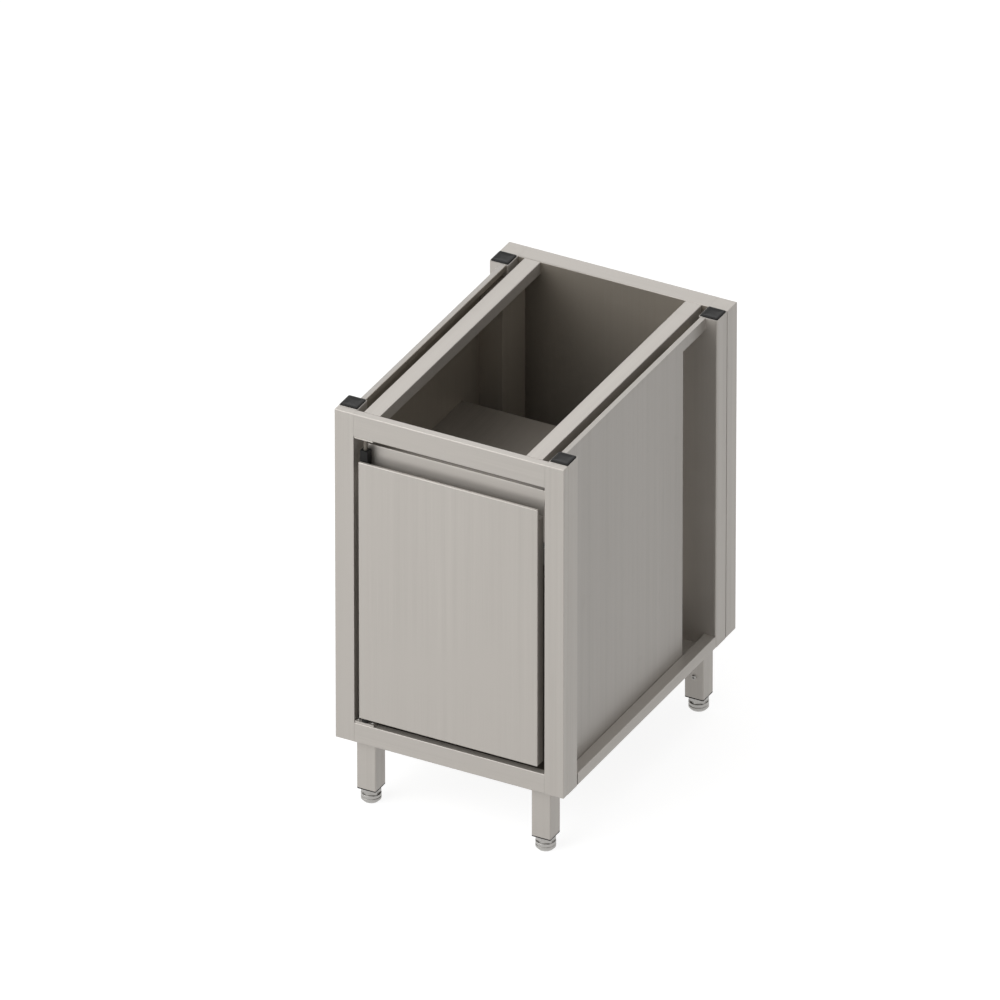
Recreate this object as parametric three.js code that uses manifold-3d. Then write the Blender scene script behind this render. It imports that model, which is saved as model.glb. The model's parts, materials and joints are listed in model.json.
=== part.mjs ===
// Condiment station cabinet: an open-topped stainless steel module on four legs,
// with rails for hanging pans, a half-depth shelf and one hinged door.
// Millimetres, +Z up, front towards -Y, origin on the floor under the middle of the cabinet.
import * as THREE from "three";
import { mergeVertices } from "three/addons/utils/BufferGeometryUtils.js";
import Module from "manifold-3d";

const wasm = await Module();
wasm.setup();

// Stock and clearances
const TUBE = 40; // square tube of posts and legs
const TUBE_WALL = 1.5;
const SHEET = 1.2; // folded sheet
const SEAM = 0.2; // gap between pieces that are welded face to face
const FIT = 0.3; // gap round a piece that is pushed in or slides
const ROUND_SEGMENTS = 24;

// Plan of the body
const PAN_CLEAR_WIDTH = 305; // between the pan rails
const PAN_RAIL_WIDTH = 34;
const PAN_RAIL_HEIGHT = 25;
const PAN_RAIL_TO_POST = 13.5;
const SIDE_SPAN = 559; // between front and rear posts
const FASCIA_DEPTH = 16; // stiles and rails of the front frame
const REAR_FRAME_DEPTH = 40;

// Heights of the body
const TOP_RAIL_HEIGHT = 49;
const DOOR_OPENING_HEIGHT = 619;
const BOTTOM_RAIL_HEIGHT = 42;
const BASE_RISE = 25; // cabinet floor and side rails above the underside
const SHELF_DROP = 213; // rim to shelf

// Side panels, each with a vertical service channel, closed at both ends, in front of the rear post
const PANEL_INSET = 25;
const HEM_WIDTH = 11;
const HEM_DROP = 12;
const CHANNEL_DEPTH = 50;
const CHANNEL_WIDTH = 88;
const PANEL_FLANGE = 22; // welded to the front post

// Shelf
const SHELF_TO_POST = 4;
const SHELF_TO_CHANNEL = 70;
const SHELF_FLANGE = 20;
const SHELF_BRACKET = 20;
const SHELF_BRACKET_SETBACK = 12;

// Post plugs
const PLUG_STANDOFF = 3;
const PLUG_LENGTH = 25;
const PLUG_CHAMFER = 2;

// Legs and feet
const FRONT_LEG_FROM_SIDE = 36;
const REAR_LEG_FROM_SIDE = 15;
const REAR_LEG_FORWARD = 22; // in front of the rear posts
const LEG_LENGTH = 104;
const LEG_PLATE = 4;
const LEG_PLATE_MARGIN = 8;
const LEG_PLATE_SIDE_INSET = 4;
const INSERT_FLANGE = 2;
const INSERT_LENGTH = 56;
const FOOT_HEIGHT = 30;
const FOOT_RADIUS = 19.5;
const FOOT_TOE_RADIUS = 16.5;
const FOOT_TOE_HEIGHT = 5;
const STEM_RADIUS = 5;
const STEM_LENGTH = 48;
const STEM_CLEARANCE = 0.2;
const LOCK_SCREW_RADIUS = 3;
const LOCK_SCREW_HEAD_RADIUS = 5;
const LOCK_SCREW_HEAD = 2.8;
const LOCK_SCREW_RISE = 46; // above the lower end of the leg

// Door with a folded full-width finger pull
const DOOR_PROUD = 5;
const DOOR_DEPTH = 25;
const DOOR_SIDE_GAP = 12.5;
const DOOR_BOTTOM_GAP = 16;
const DOOR_TOP_GAP = 23;
const PULL_ZONE = 49; // top of the opening to the lip
const LIP_DEPTH = 6;
const GROOVE_DEPTH = 24;
const GROOVE_WIDTH = 17;
const PULL_LEAN = 8; // the groove's back wall leans back as it rises
const PULL_RETURN = 8;
const BACK_SKIN_RETURN = 10;

// Hinge and catch
const PIN_RADIUS = 4;
const PIN_CLEARANCE = 0.1;
const PIN_REACH = 24; // length of pin inside the door
const PIN_HOLE_MARGIN = 1;
const HINGE_PLATE = 4;
const HINGE_PLATE_LENGTH = 40;
const HINGE_PLATE_SETBACK = 1;
const PIVOT_BLOCK_WIDTH = 16;
const PIVOT_BLOCK_RISE = 22; // above the lip
const BUSH_REACH = 11; // from the pivot towards the middle of the door
const SPACER_WALL = 4;
const CATCH_HEIGHT = 36;
const CATCH_REACH = 34;
const CATCH_DEPTH = 18;
const CATCH_CHAMFER = 3;
const CATCH_BELOW_RIM = 210;
const STRIKE_WIDTH = 24;
const STRIKE_SHEET = 1.2;

// Places that follow from the sizes above; plan depths are measured from the front frame's face
const WIDTH = PAN_CLEAR_WIDTH + 2 * (PAN_RAIL_WIDTH + PAN_RAIL_TO_POST + TUBE);
const SIDE = WIDTH / 2;
const OPENING_SIDE = SIDE - TUBE;
const FRONT_POST = FASCIA_DEPTH;
const SPAN_START = FRONT_POST + TUBE;
const REAR_POST = SPAN_START + SIDE_SPAN;
const REAR_FRAME = REAR_POST + TUBE;
const BODY_DEPTH = REAR_FRAME + REAR_FRAME_DEPTH;
const FACE_Y = DOOR_PROUD - (BODY_DEPTH + DOOR_PROUD) / 2;
const LEG_BOTTOM = FOOT_HEIGHT + INSERT_FLANGE;
const BODY_BOTTOM = LEG_BOTTOM + LEG_LENGTH + LEG_PLATE;
const OPENING_BOTTOM = BODY_BOTTOM + BOTTOM_RAIL_HEIGHT;
const OPENING_TOP = OPENING_BOTTOM + DOOR_OPENING_HEIGHT;
const RIM = OPENING_TOP + TOP_RAIL_HEIGHT;
const BASE_TOP = BODY_BOTTOM + BASE_RISE;
const SHELF_TOP = RIM - SHELF_DROP;
const PANEL_OUT = SIDE - PANEL_INSET;
const PANEL_IN = PANEL_OUT - SHEET;
const CHANNEL_IN = PANEL_OUT - CHANNEL_DEPTH;
const CHANNEL_START = REAR_POST - SEAM - SHEET - CHANNEL_WIDTH;
const REAR_PANEL_FRONT = REAR_FRAME - SEAM - SHEET;

const DOOR_SIDE = OPENING_SIDE - DOOR_SIDE_GAP;
const DOOR_BOTTOM = OPENING_BOTTOM + DOOR_BOTTOM_GAP;
const DOOR_TOP = OPENING_TOP - DOOR_TOP_GAP;
const LIP_TOP = OPENING_TOP - PULL_ZONE;
const GROOVE_FLOOR = LIP_TOP - GROOVE_DEPTH;
const DOOR_FACE = -DOOR_PROUD;
const DOOR_BACK = DOOR_FACE + DOOR_DEPTH;
const GROOVE_FRONT = DOOR_FACE + LIP_DEPTH;
const GROOVE_BACK = GROOVE_FRONT + GROOVE_WIDTH;
const PIVOT_X = -DOOR_SIDE + PIVOT_BLOCK_WIDTH / 2;
const PIVOT_DEPTH = (GROOVE_FRONT + GROOVE_BACK) / 2;

const STEEL = { color: 0xb9b5ae, roughness: 0.34, metalness: 1 };
const INNER_STEEL = { color: 0x8f8a82, roughness: 0.45, metalness: 1 };
const BLACK_NYLON = { color: 0x17171a, roughness: 0.6, metalness: 0 };
const BRIGHT_STEEL = { color: 0xa9a7a3, roughness: 0.28, metalness: 1 };

const group = new THREE.Group();
const body = new THREE.Group();
const door = new THREE.Group();
body.position.y = FACE_Y;
door.position.y = FACE_Y;
group.add(body, door);

// Adds one named piece to a group and gives it back, so that it can be placed.
function piece(parent, name, geometry, finish) {
  const mesh = new THREE.Mesh(geometry, new THREE.MeshStandardMaterial(finish));
  mesh.name = name;
  parent.add(mesh);
  return mesh;
}

// Closed geometry with positions alone, as booleans need it.
function positionsOnly(geometry) {
  const bare = new THREE.BufferGeometry();
  bare.setAttribute("position", geometry.getAttribute("position").clone());
  bare.setIndex(geometry.index);
  return mergeVertices(bare, 1e-4);
}

function toSolid(geometry) {
  const bare = positionsOnly(geometry);
  return new wasm.Manifold(
    new wasm.Mesh({
      numProp: 3,
      vertProperties: new Float32Array(bare.getAttribute("position").array),
      triVerts: new Uint32Array(bare.index.array),
    }),
  );
}

function fromSolid(solid) {
  const made = solid.getMesh();
  const geometry = new THREE.BufferGeometry();
  geometry.setAttribute("position", new THREE.BufferAttribute(made.vertProperties, made.numProp));
  geometry.setIndex(new THREE.BufferAttribute(made.triVerts, 1));
  geometry.computeVertexNormals();
  return geometry;
}

const cut = (whole, ...tools) =>
  fromSolid(tools.reduce((left, tool) => left.subtract(toSolid(tool)), toSolid(whole)));
const join = (first, ...rest) =>
  fromSolid(rest.reduce((sum, next) => sum.add(toSolid(next)), toSolid(first)));

// Box between two corners.
function box([x0, y0, z0], [x1, y1, z1]) {
  const geometry = new THREE.BoxGeometry(x1 - x0, y1 - y0, z1 - z0);
  return geometry.translate((x0 + x1) / 2, (y0 + y1) / 2, (z0 + z1) / 2);
}

const closedShape = (points) => new THREE.Shape(points.map(([u, v]) => new THREE.Vector2(u, v)));
const rectangle = (u0, v0, u1, v1) => [[u0, v0], [u1, v0], [u1, v1], [u0, v1]];
const extrude = (shape, depth) => new THREE.ExtrudeGeometry(shape, { depth, bevelEnabled: false });

// Rectangle with a wall round an open middle.
function hollowRectangle(u0, v0, u1, v1, wall) {
  const shape = closedShape(rectangle(u0, v0, u1, v1));
  const inside = rectangle(u0 + wall, v0 + wall, u1 - wall, v1 - wall);
  shape.holes.push(closedShape(inside));
  return shape;
}

// Extrusions of a plan outline upwards, of a depth-height outline across, and of a width-height outline back.
const upwards = (shape, z0, z1) => extrude(shape, z1 - z0).translate(0, 0, z0);
const ACROSS = new THREE.Matrix4().makeBasis(
  new THREE.Vector3(0, 1, 0),
  new THREE.Vector3(0, 0, 1),
  new THREE.Vector3(1, 0, 0),
);
const across = (shape, x0, x1) => extrude(shape, x1 - x0).applyMatrix4(ACROSS).translate(x0, 0, 0);
const BACKWARDS = new THREE.Matrix4().makeBasis(
  new THREE.Vector3(1, 0, 0),
  new THREE.Vector3(0, 0, 1),
  new THREE.Vector3(0, -1, 0),
);
const backwards = (shape, y0, y1) => extrude(shape, y1 - y0).applyMatrix4(BACKWARDS).translate(0, y1, 0);

// Section of a folded sheet: its outer faces follow the points, and its thickness lies on their right.
function folded(points, thickness) {
  const corners = points.map(([u, v]) => new THREE.Vector2(u, v));
  const rights = corners.slice(1).map((end, i) => {
    const run = end.clone().sub(corners[i]).normalize();
    return new THREE.Vector2(run.y, -run.x);
  });
  const inner = corners.map((corner, i) => {
    const before = rights[Math.max(i - 1, 0)];
    const after = rights[Math.min(i, rights.length - 1)];
    const mitre = before.clone().add(after);
    return corner.clone().addScaledVector(mitre, (2 * thickness) / mitre.lengthSq());
  });
  return new THREE.Shape([...corners, ...inner.reverse()]);
}

// Turned piece about a vertical axis; four segments give a square section of the stated half width.
function turned(profile, segments = ROUND_SEGMENTS) {
  const toCorner = segments === 4 ? Math.SQRT2 : 1;
  const points = profile.map(([r, z]) => new THREE.Vector2(r * toCorner, z));
  return new THREE.LatheGeometry(points, segments, Math.PI / 4).rotateX(Math.PI / 2);
}

const rod = (radius, z0, z1) => turned([[0, z0], [radius, z0], [radius, z1], [0, z1]]);

// Radius of a faceted hole that clears a round piece of the stated radius.
const clearing = (radius) => radius / Math.cos(Math.PI / ROUND_SEGMENTS);

// Front frame: hollow stiles closed by the posts behind them, and box-section rails between
for (const [side, sign] of [["left", -1], ["right", 1]]) {
  const low = Math.min(sign * OPENING_SIDE, sign * SIDE);
  const high = low + TUBE;
  const shell = box([low, 0, BODY_BOTTOM], [high, FASCIA_DEPTH - SEAM, RIM]);
  const hollow = box(
    [low + TUBE_WALL, TUBE_WALL, BODY_BOTTOM + TUBE_WALL],
    [high - TUBE_WALL, FASCIA_DEPTH, RIM - TUBE_WALL],
  );
  piece(body, `front_${side}_stile`, cut(shell, hollow), STEEL);
}
const RAIL_END = OPENING_SIDE - SEAM;
const frontRails = [
  ["front_top_rail", OPENING_TOP, RIM],
  ["front_bottom_rail", BODY_BOTTOM, OPENING_BOTTOM],
];
for (const [name, z0, z1] of frontRails) {
  const section = hollowRectangle(0, z0, FASCIA_DEPTH, z1, TUBE_WALL);
  piece(body, name, across(section, -RAIL_END, RAIL_END), STEEL);
}

// Four corners: post, plug, leg plate, leg, threaded insert, lock screw and levelling foot
const postSection = hollowRectangle(-TUBE / 2, -TUBE / 2, TUBE / 2, TUBE / 2, TUBE_WALL);
const postShape = upwards(postSection, BODY_BOTTOM, RIM);
const PUSHED_IN = TUBE / 2 - TUBE_WALL - FIT;
const plugShape = turned(
  [
    [0, RIM - PLUG_LENGTH],
    [PUSHED_IN, RIM - PLUG_LENGTH],
    [PUSHED_IN, RIM + PLUG_STANDOFF - PLUG_CHAMFER],
    [PUSHED_IN - PLUG_CHAMFER, RIM + PLUG_STANDOFF],
    [0, RIM + PLUG_STANDOFF],
  ],
  4,
);
const LEG_TOP = LEG_BOTTOM + LEG_LENGTH;
const lockScrewZ = LEG_BOTTOM + LOCK_SCREW_RISE;
const legTube = upwards(postSection, LEG_BOTTOM, LEG_TOP - SEAM);
const insertBlock = turned(
  [
    [0, FOOT_HEIGHT],
    [TUBE / 2, FOOT_HEIGHT],
    [TUBE / 2, LEG_BOTTOM - SEAM],
    [PUSHED_IN, LEG_BOTTOM - SEAM],
    [PUSHED_IN, LEG_BOTTOM + INSERT_LENGTH],
    [0, LEG_BOTTOM + INSERT_LENGTH],
  ],
  4,
);
const stemHole = rod(clearing(STEM_RADIUS + STEM_CLEARANCE), 0, LEG_TOP);
const insertShape = cut(insertBlock, stemHole);
const footShape = turned([
  [0, 0],
  [FOOT_TOE_RADIUS, 0],
  [FOOT_RADIUS, FOOT_TOE_HEIGHT],
  [FOOT_RADIUS, FOOT_HEIGHT - FIT],
  [STEM_RADIUS, FOOT_HEIGHT - FIT],
  [STEM_RADIUS, FOOT_HEIGHT + STEM_LENGTH],
  [0, FOOT_HEIGHT + STEM_LENGTH],
]);
const screwShape = turned([
  [0, SEAM - TUBE_WALL - FIT],
  [LOCK_SCREW_RADIUS, SEAM - TUBE_WALL - FIT],
  [LOCK_SCREW_RADIUS, SEAM],
  [LOCK_SCREW_HEAD_RADIUS, SEAM],
  [LOCK_SCREW_HEAD_RADIUS, LOCK_SCREW_HEAD / 2],
  [LOCK_SCREW_HEAD_RADIUS - LOCK_SCREW_HEAD / 2, LOCK_SCREW_HEAD],
  [0, LOCK_SCREW_HEAD],
]);
const POST_X = SIDE - TUBE / 2;
const FRONT_LEG_X = SIDE - FRONT_LEG_FROM_SIDE - TUBE / 2;
const REAR_LEG_X = SIDE - REAR_LEG_FROM_SIDE - TUBE / 2;
const PLATE_OUT = SIDE - LEG_PLATE_SIDE_INSET;
const PLATE_HALF_DEPTH = TUBE / 2 + LEG_PLATE_MARGIN;
const corners = [
  ["front_left", -1, FRONT_POST, 1, FRONT_LEG_X, 0],
  ["front_right", 1, FRONT_POST, 1, FRONT_LEG_X, 0],
  ["rear_left", -1, REAR_POST, -1, REAR_LEG_X, REAR_LEG_FORWARD],
  ["rear_right", 1, REAR_POST, -1, REAR_LEG_X, REAR_LEG_FORWARD],
];
for (const [corner, sign, postStart, inward, legX, legForward] of corners) {
  const middle = postStart + TUBE / 2;
  const legMiddle = middle - legForward;
  const leg = new THREE.Group();
  leg.position.set(sign * legX, legMiddle, 0);
  body.add(leg);
  piece(body, `${corner}_post`, postShape.clone(), STEEL).position.set(sign * POST_X, middle, 0);
  piece(body, `${corner}_post_plug`, plugShape.clone(), BLACK_NYLON).position.set(sign * POST_X, middle, 0);
  const plateIn = legX - TUBE / 2 - LEG_PLATE_MARGIN;
  const plateSides = [sign * plateIn, sign * PLATE_OUT].sort((a, b) => a - b);
  const plate = box(
    [plateSides[0], legMiddle - PLATE_HALF_DEPTH, LEG_TOP],
    [plateSides[1], legMiddle + PLATE_HALF_DEPTH, BODY_BOTTOM - SEAM],
  );
  piece(body, `${corner}_leg_plate`, plate, STEEL);

  const turnInward = new THREE.Matrix4().makeRotationX((-inward * Math.PI) / 2);
  const toLegFace = new THREE.Matrix4().makeTranslation(0, (inward * TUBE) / 2, lockScrewZ);
  const toScrew = toLegFace.multiply(turnInward);
  const screwHole = rod(clearing(LOCK_SCREW_RADIUS + FIT), -2 * TUBE_WALL, TUBE_WALL).applyMatrix4(toScrew);
  piece(leg, `${corner}_leg`, cut(legTube, screwHole), STEEL);
  piece(leg, `${corner}_leg_insert`, insertShape.clone(), BLACK_NYLON);
  piece(leg, `${corner}_leg_screw`, screwShape.clone().applyMatrix4(toScrew), BRIGHT_STEEL);
  piece(leg, `${corner}_foot`, footShape.clone(), BRIGHT_STEEL);
}

// Rear frame: hollow uprights closed by the rear posts, box-section rails, and a sheet in front of them
for (const [side, sign] of [["left", -1], ["right", 1]]) {
  const low = Math.min(sign * OPENING_SIDE, sign * SIDE);
  const high = low + TUBE;
  const shell = box([low, REAR_FRAME + SEAM, BODY_BOTTOM], [high, BODY_DEPTH, RIM]);
  const hollow = box(
    [low + TUBE_WALL, REAR_FRAME, BODY_BOTTOM + TUBE_WALL],
    [high - TUBE_WALL, BODY_DEPTH - TUBE_WALL, RIM - TUBE_WALL],
  );
  piece(body, `rear_${side}_upright`, cut(shell, hollow), STEEL);
}
const rearRails = [
  ["rear_top_rail", OPENING_TOP, RIM],
  ["rear_bottom_rail", BODY_BOTTOM, OPENING_BOTTOM],
];
for (const [name, z0, z1] of rearRails) {
  const section = hollowRectangle(REAR_FRAME, z0, BODY_DEPTH, z1, TUBE_WALL);
  piece(body, name, across(section, -RAIL_END, RAIL_END), STEEL);
}
const rearSheet = box([-RAIL_END, REAR_PANEL_FRONT, BODY_BOTTOM], [RAIL_END, REAR_FRAME - SEAM, RIM]);
piece(body, "rear_panel", rearSheet, INNER_STEEL);

// Sides: bottom rail, folded panel with its hem and service channel, pan rail and shelf bracket
const FLANGE_OUT = PANEL_OUT + PANEL_FLANGE;
const CHANNEL_END = REAR_POST - SEAM;
const PAN_RAIL_IN = PAN_CLEAR_WIDTH / 2;
const PAN_RAIL_OUT = PAN_RAIL_IN + PAN_RAIL_WIDTH;
const BRACKET_START = SPAN_START + SHELF_TO_POST + SHELF_BRACKET_SETBACK;
const SHELF_START = SPAN_START + SHELF_TO_POST;
const SHELF_END = CHANNEL_START - SHELF_TO_CHANNEL;
for (const [side, sign] of [["left", -1], ["right", 1]]) {
  const mirrored = (points) => {
    const placed = points.map(([x, v]) => [sign * x, v]);
    return sign > 0 ? placed : placed.reverse();
  };
  const railSection = hollowRectangle(PANEL_OUT + SEAM, BODY_BOTTOM, SIDE, BASE_TOP, TUBE_WALL);
  const rail = backwards(railSection, SPAN_START + 2 * SEAM + SHEET, CHANNEL_END - SHEET - SEAM);
  const bottomRail = piece(body, `${side}_bottom_rail`, rail, STEEL);
  bottomRail.position.x = sign > 0 ? 0 : -PANEL_OUT - SEAM - SIDE;

  const plan = folded(
    mirrored([
      [FLANGE_OUT, CHANNEL_END - SHEET],
      [CHANNEL_IN, CHANNEL_END - SHEET],
      [CHANNEL_IN, CHANNEL_START],
      [PANEL_OUT, CHANNEL_START],
      [PANEL_OUT, SPAN_START + SEAM + SHEET],
      [FLANGE_OUT, SPAN_START + SEAM + SHEET],
    ]),
    SHEET,
  );
  const underPanRail = [sign * (CHANNEL_IN - 2 * SHEET), sign * PANEL_IN].sort((a, b) => a - b);
  const notchBottom = RIM - PAN_RAIL_HEIGHT - FIT;
  const notch = box(
    [underPanRail[0], CHANNEL_START - 2 * SHEET, notchBottom],
    [underPanRail[1], CHANNEL_END + SHEET, RIM + SHEET],
  );
  const hemSection = folded(
    mirrored([
      [PANEL_IN - HEM_WIDTH + SHEET, RIM - HEM_DROP],
      [PANEL_IN - HEM_WIDTH + SHEET, RIM],
      [PANEL_IN + SHEET / 2, RIM],
    ]),
    SHEET,
  );
  const hem = backwards(hemSection, SPAN_START + 2 * SEAM + SHEET, CHANNEL_END - SHEET / 2);
  const lipSides = [sign * PANEL_IN, sign * PANEL_OUT].sort((a, b) => a - b);
  const lipOverChannel = box(
    [lipSides[0], CHANNEL_START - SHEET, notchBottom - SHEET],
    [lipSides[1], CHANNEL_END - SHEET / 2, RIM],
  );
  const channelSides = [sign * (CHANNEL_IN - SHEET / 2), sign * PANEL_OUT].sort((a, b) => a - b);
  const channelEnd = (z0) =>
    box(
      [channelSides[0], CHANNEL_START - SHEET / 2, z0],
      [channelSides[1], CHANNEL_END - SHEET / 2, z0 + SHEET],
    );
  const channelEnds = [channelEnd(BODY_BOTTOM), channelEnd(notchBottom - SHEET)];
  const wall = cut(upwards(plan, BODY_BOTTOM, RIM), notch);
  piece(body, `${side}_side_panel`, join(wall, hem, lipOverChannel, ...channelEnds), STEEL);

  const panSection = folded(
    [
      [PAN_RAIL_IN, RIM - PAN_RAIL_HEIGHT],
      [PAN_RAIL_IN, RIM],
      [PAN_RAIL_OUT, RIM],
      [PAN_RAIL_OUT, RIM - PAN_RAIL_HEIGHT],
    ],
    TUBE_WALL,
  );
  const panRail = backwards(panSection, FASCIA_DEPTH + SEAM, REAR_PANEL_FRONT - SEAM);
  piece(body, `${side}_pan_rail`, panRail, STEEL).position.x =
    sign > 0 ? 0 : -PAN_RAIL_IN - PAN_RAIL_OUT;

  const bracketTop = SHELF_TOP - SHEET - SEAM;
  const bracketSection = folded(
    mirrored([
      [PANEL_IN - SEAM - SHELF_BRACKET, bracketTop],
      [PANEL_IN - SEAM, bracketTop],
      [PANEL_IN - SEAM, bracketTop - SHELF_BRACKET],
    ]),
    SHEET,
  );
  const bracket = backwards(bracketSection, BRACKET_START, SHELF_END - SHELF_BRACKET_SETBACK);
  piece(body, `${side}_shelf_bracket`, bracket, INNER_STEEL);
}

// Cabinet floor, notched round the posts and service channels, with a flange at each end
const FLOOR_WIDE = PANEL_IN - FIT;
const FLOOR_AT_POSTS = OPENING_SIDE - FIT;
const FLOOR_AT_CHANNELS = CHANNEL_IN - SHEET - FIT;
const FLOOR_START = FASCIA_DEPTH + SEAM;
const FLOOR_END = REAR_PANEL_FRONT - SEAM;
const halfFloor = [
  [FLOOR_AT_POSTS, FLOOR_START],
  [FLOOR_AT_POSTS, SPAN_START + FIT],
  [FLOOR_WIDE, SPAN_START + FIT],
  [FLOOR_WIDE, CHANNEL_START - SHEET - FIT],
  [FLOOR_AT_CHANNELS, CHANNEL_START - SHEET - FIT],
  [FLOOR_AT_CHANNELS, REAR_POST + FIT],
  [FLOOR_AT_POSTS, REAR_POST + FIT],
  [FLOOR_AT_POSTS, FLOOR_END],
];
const otherHalf = halfFloor.map(([x, y]) => [-x, y]).reverse();
const floorPlate = upwards(closedShape([...halfFloor, ...otherHalf]), BASE_TOP - SHEET, BASE_TOP);
const floorFlange = (y0, y1) =>
  box([-FLOOR_AT_POSTS, y0, BODY_BOTTOM], [FLOOR_AT_POSTS, y1, BASE_TOP - SHEET / 2]);
const floorPan = join(
  floorPlate,
  floorFlange(FLOOR_START, FLOOR_START + SHEET),
  floorFlange(FLOOR_END - SHEET, FLOOR_END),
);
piece(body, "base_panel", floorPan, INNER_STEEL);

// Half-depth shelf under the pans, resting on the side brackets
const SHELF_FLANGE_SIDE = PANEL_IN - SEAM - SHELF_BRACKET - FIT;
const shelfPlate = box([-FLOOR_WIDE, SHELF_START, SHELF_TOP - SHEET], [FLOOR_WIDE, SHELF_END, SHELF_TOP]);
const shelfFlange = (y0, y1) =>
  box([-SHELF_FLANGE_SIDE, y0, SHELF_TOP - SHELF_FLANGE], [SHELF_FLANGE_SIDE, y1, SHELF_TOP - SHEET / 2]);
const shelf = join(
  shelfPlate,
  shelfFlange(SHELF_START, SHELF_START + SHEET),
  shelfFlange(SHELF_END - SHEET, SHELF_END),
);
piece(body, "inner_shelf", shelf, INNER_STEEL);

// Hinge plates and pins on the front frame
const HINGE_PLATE_START = -OPENING_SIDE + SEAM;
const hingePlate = (z0, z1) =>
  cut(
    box(
      [HINGE_PLATE_START, HINGE_PLATE_SETBACK, z0],
      [HINGE_PLATE_START + HINGE_PLATE_LENGTH, FASCIA_DEPTH - HINGE_PLATE_SETBACK, z1],
    ),
    rod(clearing(PIN_RADIUS + FIT), z0 - SHEET, z1 + SHEET).translate(PIVOT_X, PIVOT_DEPTH, 0),
  );
const LOWER_PLATE_TOP = OPENING_BOTTOM + SEAM + HINGE_PLATE;
const UPPER_PLATE_BOTTOM = OPENING_TOP - SEAM - HINGE_PLATE;
const PIVOT_BLOCK_TOP = LIP_TOP + PIVOT_BLOCK_RISE;
const atPivot = (geometry) => geometry.translate(PIVOT_X, PIVOT_DEPTH, 0);
piece(body, "lower_hinge_plate", hingePlate(OPENING_BOTTOM + SEAM, LOWER_PLATE_TOP), STEEL);
piece(body, "upper_hinge_plate", hingePlate(UPPER_PLATE_BOTTOM, OPENING_TOP - SEAM), STEEL);
const lowerPin = rod(PIN_RADIUS, OPENING_BOTTOM + FIT, DOOR_BOTTOM + PIN_REACH);
const upperPin = rod(PIN_RADIUS, PIVOT_BLOCK_TOP - PIN_REACH, OPENING_TOP - FIT);
piece(body, "lower_hinge_pin", atPivot(lowerPin), BRIGHT_STEEL);
piece(body, "upper_hinge_pin", atPivot(upperPin), BRIGHT_STEEL);
const SPACER_BORE = clearing(PIN_RADIUS + FIT);
const spacerSection = [
  [SPACER_BORE, LOWER_PLATE_TOP + SEAM],
  [SPACER_BORE + SPACER_WALL, LOWER_PLATE_TOP + SEAM],
  [SPACER_BORE + SPACER_WALL, DOOR_BOTTOM - FIT],
  [SPACER_BORE, DOOR_BOTTOM - FIT],
  [SPACER_BORE, LOWER_PLATE_TOP + SEAM],
];
piece(body, "lower_hinge_spacer", atPivot(turned(spacerSection)), BLACK_NYLON);

// Door front skin: one sheet folded into face, lip, finger groove and back wall, with closed ends below the groove
const SKIN_BACK = DOOR_BACK - SHEET - SEAM;
const skinSection = folded(
  [
    [SKIN_BACK, DOOR_BOTTOM],
    [DOOR_FACE, DOOR_BOTTOM],
    [DOOR_FACE, LIP_TOP],
    [GROOVE_FRONT, LIP_TOP],
    [GROOVE_FRONT, GROOVE_FLOOR],
    [GROOVE_BACK, GROOVE_FLOOR],
    [GROOVE_BACK + PULL_LEAN, DOOR_TOP],
    [GROOVE_BACK + PULL_LEAN + PULL_RETURN, DOOR_TOP],
  ],
  SHEET,
);
const endSection = closedShape([
  [SKIN_BACK, DOOR_BOTTOM],
  [DOOR_FACE, DOOR_BOTTOM],
  [DOOR_FACE, LIP_TOP],
  [GROOVE_FRONT, LIP_TOP],
  [GROOVE_FRONT, GROOVE_FLOOR],
  [Math.min(SKIN_BACK, GROOVE_BACK), GROOVE_FLOOR],
  [SKIN_BACK, GROOVE_FLOOR - SHEET],
]);
const openSkin = across(skinSection, -DOOR_SIDE, DOOR_SIDE);
const leftEnd = across(endSection, -DOOR_SIDE, SHEET - DOOR_SIDE);
const rightEnd = across(endSection, DOOR_SIDE - SHEET, DOOR_SIDE);
const pinHole = rod(PIN_RADIUS + PIN_HOLE_MARGIN, DOOR_BOTTOM - SHEET, DOOR_BOTTOM + 2 * SHEET);
piece(door, "door_front_skin", cut(join(openSkin, leftEnd, rightEnd), atPivot(pinHole)), STEEL);

// Door back skin: a sheet with a return down each side
const RETURN_SIDE = DOOR_SIDE - SHEET - SEAM;
const backPlan = folded(
  [
    [-RETURN_SIDE, SKIN_BACK - BACK_SKIN_RETURN],
    [-RETURN_SIDE, DOOR_BACK],
    [RETURN_SIDE, DOOR_BACK],
    [RETURN_SIDE, SKIN_BACK - BACK_SKIN_RETURN],
  ],
  SHEET,
);
const backSkin = upwards(backPlan, DOOR_BOTTOM + SHEET + SEAM, GROOVE_FLOOR - SHEET - SEAM);
piece(door, "door_back_skin", backSkin, INNER_STEEL);

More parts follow.
